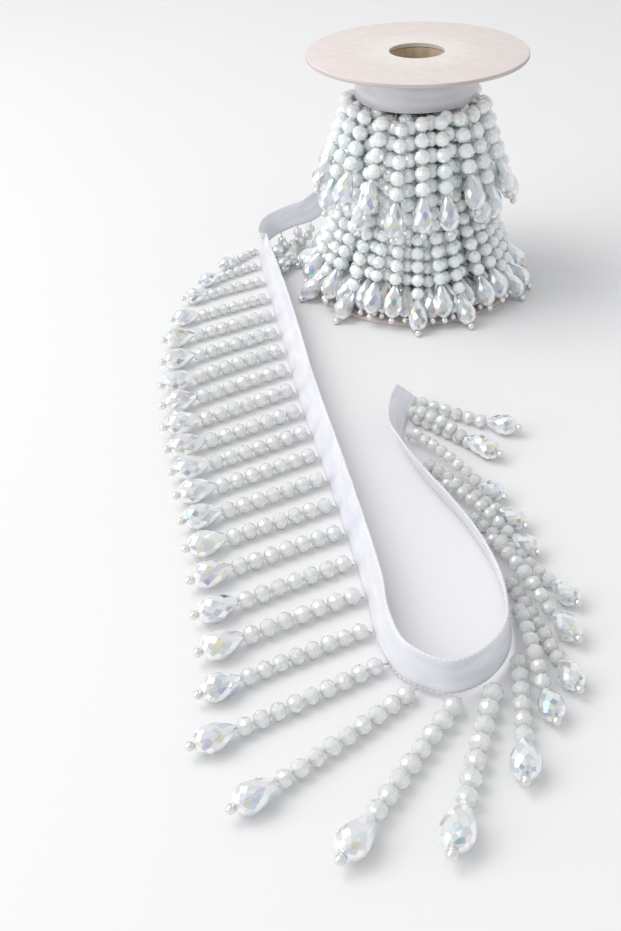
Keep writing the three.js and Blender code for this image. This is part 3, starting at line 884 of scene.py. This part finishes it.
def loose_path(distance, raised):
    """A strand that sinks to the surface and lies on it, with its number of beads and its size."""
    point, heading, outward, _ = RIBBON.frame(distance)
    beads, size = loose_strand(distance)
    fan = math.radians(RIBBON.value("fan", distance))
    along = np.array([math.cos(fan), math.sin(fan), 0])
    side = np.array([-along[1], along[0], 0])
    radius = BEAD_REST * size
    belly = DROP_REST * size
    slant = abs(along.dot(heading))
    string = ROOT_GAP + beads * BEAD_PITCH * size
    total = string + (DROP_LENGTH + 2 * PEARL_RADIUS) * size + SPARE
    bow = chance.uniform(-STRAND_BOW, STRAND_BOW)
    start = max(point[2], LOWEST_ROOT)
    points = []
    for run in np.arange(0, total + PATH_STEP, PATH_STEP):
        aside = outward * radius * slant * (1 - run / total)
        place = point + along * run + aside + side * bow * math.sin(math.pi * run / total)
        held = np.interp(run, (0, radius, string * STACK_HELD, string), (STACK_ROOT, 1, 1, 0))
        stack = STACK_RISE * held if raised else 0
        settled = 1 - max(0, 1 - run / radius) ** 2
        swell = np.interp(run, (string - radius, string + radius), (0, 1))
        rest = radius + stack + (belly - radius) * swell
        place[2] = start + (rest - start) * settled
        points.append(place)
    return Path(points), beads, size


def make_loose_fringe():
    fringe = Fringe(LOOSE_PAINTED_FACET_SHADE)
    roots = []
    for stretch in STRETCHES:
        each = (stretch.end - stretch.start) / stretch.strands
        for k in range(stretch.strands):
            roots.append((stretch.start + (k + 0.5) * each, stretch.stacked and k % 2 == 1))
    roots.append((TOP_END_STRAND, True))
    for distance, raised in roots:
        fringe.string_loose(*loose_path(distance, raised))
    for points in HANGING:
        fringe.string_loose(Path(smooth(points)), HANGING_BEADS, HANGING_SIZE)
    names = ["hanging"] + [stretch.name for stretch in STRETCHES]
    return fringe.make("loose", LOOSE_BEADS, [f"loose_fringe_{name}" for name in names])


# Ribbon

def ribbon_wave(distance):
    """How far the ribbon is drawn out of its plane between two strands."""
    ends = (WAVE_FROM, WAVE_FROM + WAVE_FADE, WAVE_TO - WAVE_FADE, WAVE_TO)
    share = np.interp(distance, ends, (0, 1, 1, 0))
    return WAVE_HEIGHT * share * math.cos(math.tau * (distance - STRETCHES[0].end) / STRAND_SPACING)


def ribbon_point(distance, share, side):
    """A point of the loose ribbon: share runs from the beaded to the plain edge, side from face to face."""
    near_cut = max(0, 1 - (RIBBON.path.length - distance) / CUT_FROM)
    point, heading, _, up = RIBBON.frame(distance - CUT_SLANT * share * near_cut)
    face = unit(np.cross(heading, up))
    foot = point + np.array([0, 0, RIBBON_THICKNESS / 2])
    place = foot + up * RIBBON_WIDTH * share
    place = place + face * ribbon_wave(distance) * math.sin(math.pi * share)
    return place + face * side * RIBBON_THICKNESS / 2


def band_mesh(name, rows, columns, section, weave):
    """A closed thin band from rows of sections, with the weave's own coordinates on its faces."""
    mesh = bpy.data.meshes.new(name)
    ring = 2 * columns
    points, coordinates = [], []
    for i in range(rows):
        for j in range(ring):
            share = (j if j < columns else ring - 1 - j) / (columns - 1)
            points.append(section(i, share, 1 if j < columns else -1))
            coordinates.append(weave(i, share))
    faces = [tuple(range(ring)), tuple((rows - 1) * ring + k for k in reversed(range(ring)))]
    for i in range(rows - 1):
        for j in range(ring):
            nxt = (j + 1) % ring
            faces.append((i * ring + j, (i + 1) * ring + j, (i + 1) * ring + nxt, i * ring + nxt))
    mesh.from_pydata(to_metres(points).tolist(), [], faces)
    layer = mesh.uv_layers.new(name="weave")
    corners = np.array([coordinates[v] for face in faces for v in face], np.float32)
    layer.data.foreach_set("uv", corners.ravel())
    mesh.polygons.foreach_set("use_smooth", [len(f) == 4 for f in faces])
    mesh.materials.append(SATIN)
    mesh.update()
    piece = bpy.data.objects.new(name, mesh)
    bpy.context.scene.collection.objects.link(piece)
    body = bmesh.new()
    body.from_mesh(mesh)
    bmesh.ops.recalc_face_normals(body, faces=body.faces)
    body.to_mesh(mesh)
    body.free()
    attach(piece, "root")
    return piece


def make_loose_ribbon():
    length = RIBBON.path.length
    rows = round(length / RIBBON_STEP) + 1
    step = length / (rows - 1)
    piece = band_mesh(
        "satin_loose", rows, RIBBON_COLUMNS,
        lambda i, share, side: ribbon_point(i * step, share, side),
        lambda i, share: (i * step, share * RIBBON_WIDTH))
    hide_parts("loose_ribbon")
    return piece, length


def wound_point(tier, turn, share, side):
    """A point of a wound band, by its turn from the outside."""
    core = BORE_RADIUS + CORE_WALL + GAP
    angle = math.tau * turn + math.radians(EXIT_FROM)
    radius = WINDING_RADIUS - (WINDING_RADIUS - core - RIBBON_THICKNESS) * turn / WINDING_TURNS
    radius += side * RIBBON_THICKNESS / 2 - RIBBON_THICKNESS
    radius += BAND_PULL * math.cos(BAND_PULLS * angle) * (1 - share) * (1 - turn / WINDING_TURNS)
    return np.array([radius * math.cos(angle), radius * math.sin(angle), tier.edge + share * RIBBON_WIDTH])


def make_wound_ribbon(tier):
    rows = WINDING_TURNS * TURN_SEGMENTS + 1
    middle = (WINDING_RADIUS + BORE_RADIUS) / 2
    piece = band_mesh(
        f"satin_wound_{tier.name}", rows, WOUND_COLUMNS,
        lambda i, share, side: wound_point(tier, i / TURN_SEGMENTS, share, side),
        lambda i, share: (i / TURN_SEGMENTS * math.tau * middle, share * RIBBON_WIDTH))
    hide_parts(f"wound_ribbon_{tier.name}")
    centre = [wound_point(tier, i / TURN_SEGMENTS, 0.5, 0) for i in range(rows)]
    return piece, Path(centre).length


# Sewing

def stitch_row(batch, place, length):
    """A row of short stitches on a line that place gives by distance."""
    for start in np.arange(STITCH_START, length - STITCH_LENGTH, STITCH_SPACING):
        reach = STITCH_LENGTH * chance.uniform(*STITCH_VARIES)
        a, b = place(start), place(start + reach)
        batch.place(KNOT_SHAPE, (a + b) / 2, b - a, (STITCH_RADIUS, STITCH_RADIUS, reach / 2), 0)


def make_sewing():
    batch = Batch()
    length = RIBBON.path.length
    inset = EDGE_INSET / RIBBON_WIDTH
    for share in (inset, 1 - inset):
        for side in (STITCH_SIDE, -STITCH_SIDE):
            stitch_row(batch, lambda s, e=share, f=side: ribbon_point(s, e, f), length)
    around = math.tau * WINDING_RADIUS
    for tier in TIERS:
        for share in (inset, 1 - inset):
            stitch_row(batch, lambda s, t=tier, e=share: wound_point(t, s / around, e, STITCH_SIDE), around)
    return batch.make("sewing", SEWING, "satin", True)


def make_fray():
    """Loose threads at the cut end."""
    batch = Batch()
    root = RIBBON.path.length - FRAY_START
    _, heading, outward, up = RIBBON.frame(root)
    for k in range(FRAY_THREADS):
        share = (k + chance.random()) / FRAY_THREADS
        start = ribbon_point(root, share, 0)
        reach = chance.uniform(*FRAY_REACH) * (FRAY_LONGER if share > FRAY_SPLIT else FRAY_SHORTER)
        sway = up * chance.gauss(*FRAY_UP) + outward * chance.gauss(*FRAY_OUT)
        bends = [start + reach * (s * heading + s * s * sway) for s in np.linspace(0, 1, FRAY_POINTS)]
        batch.tube(bends, FRAY_RADIUS, FRAY_SIDES)
    return batch.make("frayed_end", SEWING, "satin", True)


# Spool

def lathe(name, outline, segments, material, slot, node_name):
    """A ring about the spool's axis from a closed outline of (radius, height) corners."""
    batch = Batch()
    points, faces = [], []
    count = len(outline)
    for k in range(segments):
        a = math.tau * k / segments
        points += [(r * math.cos(a), r * math.sin(a), z) for r, z in outline]
    for k in range(segments):
        nxt = (k + 1) % segments
        for j in range(count):
            up = (j + 1) % count
            faces.append((k * count + j, nxt * count + j, nxt * count + up, k * count + up))
    batch.add(points, faces)
    piece = batch.make(name, material, slot, True)
    edges = piece.modifiers.new("edges", "EDGE_SPLIT")
    edges.split_angle = math.radians(SHARP_ANGLE)
    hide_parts(node_name)


def flange_outline(floor):
    """The board's section, with its outer corners worn round and a soft lip about the hole."""
    top = floor + FLANGE_THICKNESS
    corner = [(math.cos(a), math.sin(a)) for a in np.linspace(-math.pi / 2, math.pi / 2, CORNER_STEPS)]
    lip = BORE_RADIUS + LIP_WIDTH
    outline = [(BORE_RADIUS, floor + LIP_HEIGHT), (lip, floor), (FLANGE_RADIUS - FLANGE_ROUND, floor)]
    for x, y in corner[1:-1]:
        z = floor + FLANGE_ROUND if y < 0 else top - FLANGE_ROUND
        outline.append((FLANGE_RADIUS - FLANGE_ROUND * (1 - x), z + FLANGE_ROUND * y))
    outline += [(FLANGE_RADIUS - FLANGE_ROUND, top), (lip, top), (BORE_RADIUS, top - LIP_HEIGHT)]
    return outline


def make_spool():
    lathe("board_bottom", flange_outline(0), FLANGE_SEGMENTS, BOARD, "board", "spool_flange_bottom")
    lathe("board_top", flange_outline(SPOOL_HEIGHT - FLANGE_THICKNESS), FLANGE_SEGMENTS, BOARD, "board",
          "spool_flange_top")
    floor, top = FLANGE_THICKNESS + GAP / 2, SPOOL_HEIGHT - FLANGE_THICKNESS - GAP / 2
    outer = BORE_RADIUS + CORE_WALL
    lathe("paper_tube", [(BORE_RADIUS, floor), (outer, floor), (outer, top), (BORE_RADIUS, top)],
          CORE_SEGMENTS, KRAFT, "kraft", "spool_core")


# Stage, light and camera

def make_camera():
    pitch, roll = math.radians(CAMERA_PITCH), math.radians(CAMERA_ROLL)
    level = Vector((0, math.sin(pitch), math.cos(pitch)))
    forward = Vector((0, math.cos(pitch), -math.sin(pitch)))
    right = Vector((math.cos(roll), 0, 0)) - level * math.sin(roll)
    up = Vector((math.sin(roll), 0, 0)) + level * math.cos(roll)
    data = bpy.data.cameras.new("camera")
    data.sensor_width = SENSOR
    data.lens = FOCAL_PIXELS / IMAGE_HEIGHT * SENSOR
    data.clip_start = CLIP_START
    camera = bpy.data.objects.new("camera", data)
    bpy.context.scene.collection.objects.link(camera)
    turn = Matrix((right, up, -forward)).transposed().to_4x4()
    camera.matrix_world = Matrix.Translation(to_metres([CAMERA_PLACE])[0]) @ turn
    bpy.context.scene.camera = camera


def make_light(lamp):
    data = bpy.data.lights.new(lamp.name, "AREA")
    data.shape = "RECTANGLE"
    data.size, data.size_y = lamp.size
    data.energy = lamp.power
    data.color = lamp.colour
    light = bpy.data.objects.new(lamp.name, data)
    bpy.context.scene.collection.objects.link(light)
    start, end = (Vector(to_metres([p])[0]) for p in (lamp.place, lamp.target))
    light.location = start
    light.rotation_euler = (end - start).to_track_quat("-Z", "Y").to_euler()


def make_floor():
    half = FLOOR_HALF
    corners = [(-half, -half, 0), (half, -half, 0), (half, half, 0), (-half, half, 0)]
    mesh = bpy.data.meshes.new("floor")
    mesh.from_pydata(corners, [], [(0, 1, 2, 3)])
    material, shader = new_material("white_floor", Roughness=0.6, Specular_IOR_Level=0.2)
    cloud = noise(material, scaled_place(material), 3, 2)
    tone = ramp(material, cloud, (0.775, 0.775, 0.785), (0.79, 0.79, 0.795))
    link(material, tone, shader.inputs["Base Color"])
    mesh.materials.append(material)
    floor = bpy.data.objects.new("floor", mesh)
    bpy.context.scene.collection.objects.link(floor)


def make_studio():
    make_floor()
    world = bpy.data.worlds.new("studio")
    scene = bpy.context.scene
    scene.world = world
    world.use_nodes = True
    sky = world.node_tree.nodes["Background"]
    sky.inputs["Color"].default_value = SKY_COLOUR
    sky.inputs["Strength"].default_value = SKY_STRENGTH
    for lamp in LAMPS:
        make_light(lamp)
    scene.view_settings.view_transform = "Standard"
    for kind, count in BOUNCES.items():
        setattr(scene.cycles, kind, count)


make_camera()
make_studio()
make_spool()
loose_pieces = make_loose_fringe()
for wound_tier in TIERS:
    make_tier(wound_tier)
    wound, wound_length = make_wound_ribbon(wound_tier)
loose, loose_length = make_loose_ribbon()
sewing = make_sewing()
fray = make_fray()
